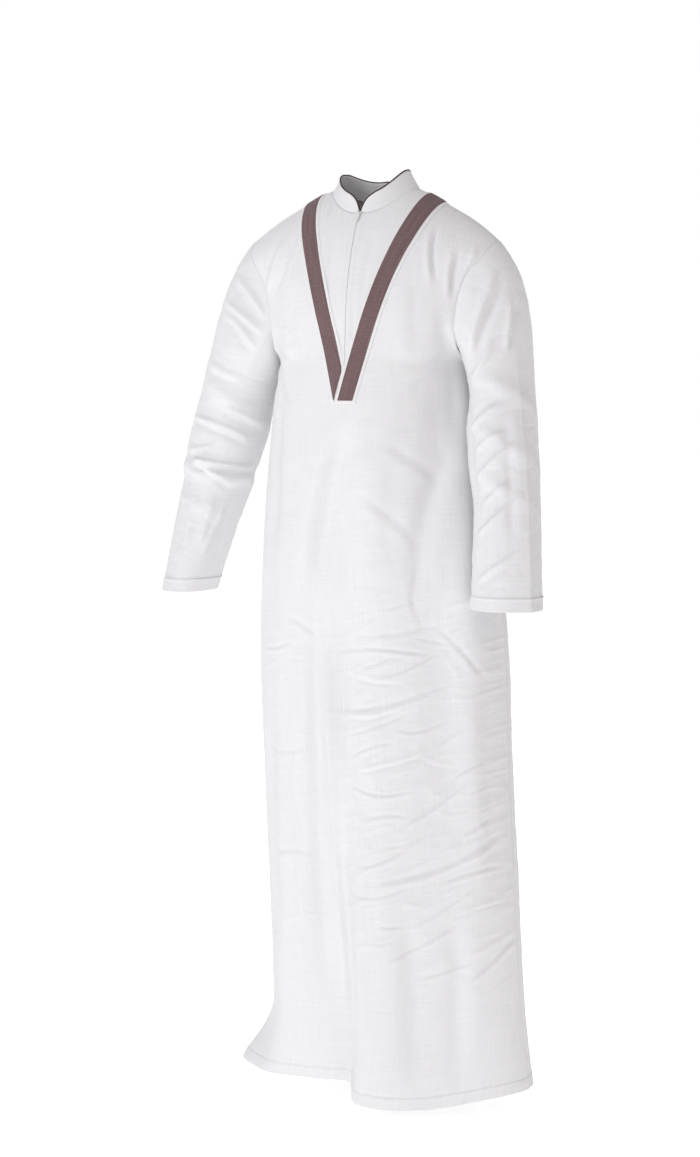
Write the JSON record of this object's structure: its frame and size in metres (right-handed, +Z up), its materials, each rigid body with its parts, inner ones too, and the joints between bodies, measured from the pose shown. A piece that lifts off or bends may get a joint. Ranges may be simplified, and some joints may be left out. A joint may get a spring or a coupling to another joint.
{
  "type": "thobe robe",
  "caption": "Ankle-length robe with long sleeves, a stand-up collar, a zip and a V of coloured bands on the chest, held in worn form.",
  "frame": {"origin": "between the shoulder seams at the base of the neck, where the wearer's neck and shoulders carry the robe", "axes": "+Z up, -Y is the front of the robe, +X is the wearer's left"},
  "size_m": [0.6776, 0.3586, 1.52],
  "materials": {
    "white_cloth": "plain weave cotton blend, crisp, pressed",
    "band_cloth": "plain weave, mauve brown",
    "zip_tape": "white woven tape with nylon teeth",
    "zip_white": "white enamelled zip slider and tab"
  },
  "bodies": {
    "robe": {"front_panel": "white_cloth", "back_panel": "white_cloth", "inset_left": "white_cloth", "inset_right": "white_cloth", "facing_left": "white_cloth", "facing_right": "white_cloth", "band_left": "band_cloth", "band_right": "band_cloth", "collar": "white_cloth", "collar_piping": "band_cloth", "sleeve_left": "white_cloth", "sleeve_right": "white_cloth", "zip_tape": "zip_tape", "zip_slider": "zip_white"},
    "pull": {"zip_pull": "zip_white"}
  },
  "joints": [
    {"name": "pull_swing", "type": "hinge", "parent": "robe", "child": "pull", "pos_m": [0, -0.08032, -0.03444], "axis": [-1, 0, 0], "range_deg": [0, 150]}
  ]
}
